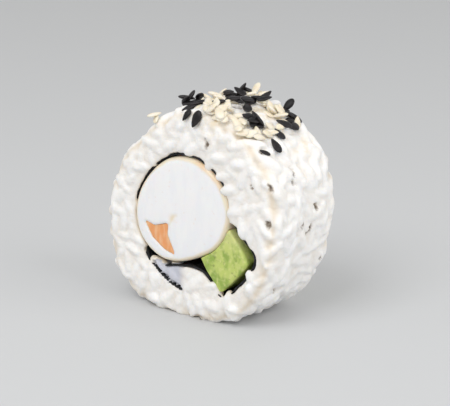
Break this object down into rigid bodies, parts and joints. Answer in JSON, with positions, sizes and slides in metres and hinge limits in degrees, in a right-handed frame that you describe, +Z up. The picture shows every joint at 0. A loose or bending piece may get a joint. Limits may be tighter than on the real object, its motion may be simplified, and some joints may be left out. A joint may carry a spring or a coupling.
{
  "type": "uramaki roll piece",
  "caption": "Piece of inside-out sushi roll: rice with sesame on top, round a sheet of nori that holds a curled prawn and a stick of avocado.",
  "frame": {"origin": "on the table, under the middle of the piece's box", "axes": "+Y along the roll's axis from the front cut to the back cut, +X across the front cut, +Z up"},
  "size_m": [0.044, 0.0214, 0.0426],
  "materials": {
    "rice": "moist, slightly glossy cooked rice, with black and cream sesame on its top",
    "nori": "moist green-black seaweed sheet",
    "prawn": "cooked prawn flesh, translucent white with a satin cut face",
    "prawn_coral": "coral-orange outer flesh of a cooked prawn, satin",
    "avocado": "ripe avocado flesh, yellow-green, satin cut face"
  },
  "bodies": {
    "root": {"rice": "rice", "nori": "nori", "prawn": "prawn", "prawn_coral": "prawn_coral", "avocado": "avocado"}
  },
  "joints": []
}
